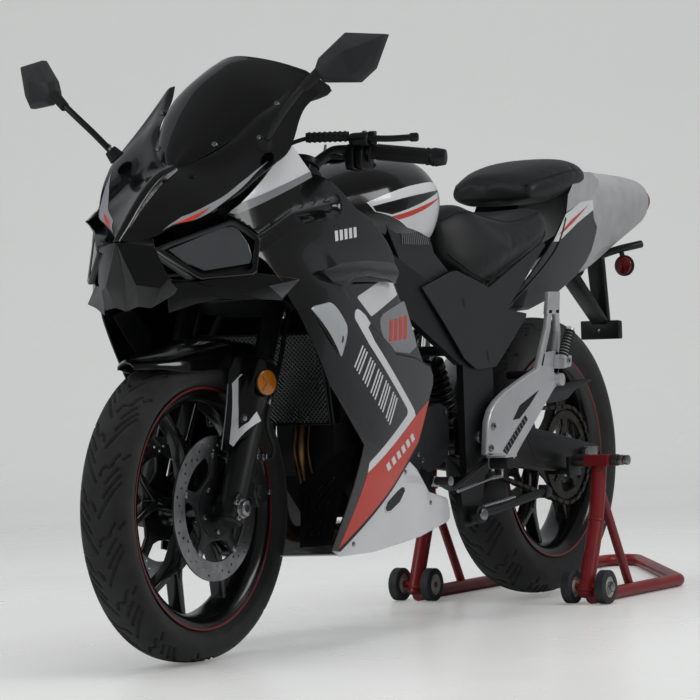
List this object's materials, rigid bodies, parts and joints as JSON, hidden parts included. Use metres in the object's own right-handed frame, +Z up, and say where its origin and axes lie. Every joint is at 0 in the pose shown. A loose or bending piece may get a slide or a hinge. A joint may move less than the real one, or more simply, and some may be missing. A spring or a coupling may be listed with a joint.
{
  "type": "sport bike on a rear paddock stand",
  "caption": "Fully faired sport bike with twin seats, held upright by a tubular rear paddock stand on rollers.",
  "frame": {"origin": "on the floor, midway along the overall length and on the bike's middle plane", "axes": "+X to the bike's left, +Y back along the bike, +Z up"},
  "size_m": [0.8506, 2.5009, 1.178],
  "materials": {
    "gloss_black": "gloss",
    "dark_cover": "matte",
    "silver_paint": "satin",
    "white_plastic": "gloss",
    "black_metal": "satin",
    "engine_grey": "cast",
    "aluminium": "polished",
    "steel": "brushed",
    "header_steel": "heat tinted",
    "tyre": "rubber",
    "seat_vinyl": "grained",
    "screen": "smoked",
    "lens": "clear",
    "red_lens": "gloss",
    "red_tube": "gloss",
    "roller_plastic": "matte"
  },
  "bodies": {
    "chassis": {"frame": "black_metal", "engine": "engine_grey", "radiator": "black_metal", "exhaust_pipes": "header_steel", "silencer": "steel", "swingarm": "black_metal", "shock": "red_tube", "chain": "steel", "chain_guard": "dark_cover", "tank": "gloss_black", "rider_seat": "seat_vinyl", "pillion_seat": "seat_vinyl", "tail_cowl": "silver_paint", "tail_panels": "gloss_black", "side_covers": "dark_cover", "tail_lamp": "red_lens", "plate_bracket": "dark_cover", "nose_cowl": "gloss_black", "windscreen": "screen", "lamps": "lens", "side_fairing_left": "gloss_black", "side_fairing_right": "gloss_black", "belly_pan": "white_plastic", "mirrors": "dark_cover", "instruments": "dark_cover", "footrest_left": "aluminium", "footrest_right": "aluminium", "paddock_stand": "red_tube"},
    "steering": {"yokes": "black_metal", "fork_legs": "black_metal", "front_axle": "steel", "handlebars": "black_metal", "front_fender": "gloss_black", "front_calipers": "black_metal"},
    "front_wheel": {"front_rim": "black_metal", "front_tyre": "tyre", "front_discs": "steel"},
    "rear_wheel": {"rear_rim": "black_metal", "rear_tyre": "tyre", "rear_sprocket": "steel", "rear_disc": "steel"},
    "side_stand": {"side_stand": "black_metal"},
    "rollers_left": {"stand_rollers_left": "roller_plastic"},
    "rollers_right": {"stand_rollers_right": "roller_plastic"}
  },
  "joints": [
    {"name": "steering_turn", "type": "hinge", "parent": "chassis", "child": "steering", "pos_m": [0, -0.91884, 0.293], "axis": [0, 0.4226, 0.9063], "range_deg": [-28, 28]},
    {"name": "front_wheel_spin", "type": "hinge", "parent": "steering", "child": "front_wheel", "pos_m": [0, -0.95746, 0.293], "axis": [1, 0, 0], "continuous": true},
    {"name": "rear_wheel_spin", "type": "hinge", "parent": "chassis", "child": "rear_wheel", "pos_m": [0, 0.44254, 0.321], "axis": [1, 0, 0], "continuous": true},
    {"name": "side_stand_fold", "type": "hinge", "parent": "chassis", "child": "side_stand", "pos_m": [0.162, -0.11546, 0.223], "axis": [-0.82, 0.2348, -0.522], "range_deg": [0, 100.45]},
    {"name": "left_rollers_spin", "type": "hinge", "parent": "chassis", "child": "rollers_left", "pos_m": [0.2205, 0.26954, 0.0375], "axis": [1, 0, 0], "continuous": true},
    {"name": "right_rollers_spin", "type": "hinge", "parent": "chassis", "child": "rollers_right", "pos_m": [-0.2205, 0.26954, 0.0375], "axis": [1, 0, 0], "continuous": true}
  ]
}
